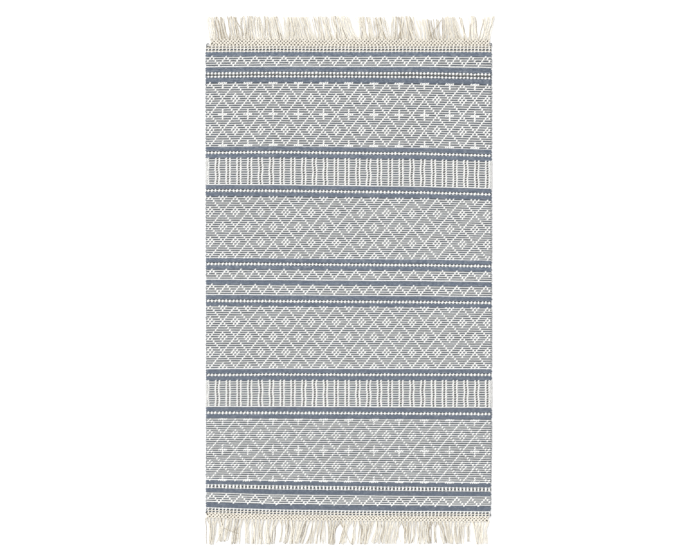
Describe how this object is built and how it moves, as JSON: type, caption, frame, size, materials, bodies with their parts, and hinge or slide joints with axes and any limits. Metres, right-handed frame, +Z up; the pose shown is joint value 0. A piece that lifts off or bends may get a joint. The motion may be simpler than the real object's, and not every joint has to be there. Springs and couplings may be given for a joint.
{
  "type": "flat-woven fringed rug",
  "caption": "Rectangular flat-woven floor rug with banded geometric patterns in two yarn colours, plain selvedges and a plaited edge with loose fringe at each end.",
  "frame": {"origin": "middle of the rug on the floor that it lies on, half way between the longest tips of the two fringes", "axes": "+Y along the rug towards the end that is at the top of the picture, +X across it to the picture's right, +Z up out of the face"},
  "size_m": [0.914, 1.69, 0.006],
  "materials": {
    "blue_yarn": "matt",
    "cream_yarn": "matt"
  },
  "bodies": {
    "root": {"woven_field": "blue_yarn", "fringe_north": "cream_yarn", "fringe_south": "cream_yarn"}
  },
  "joints": []
}
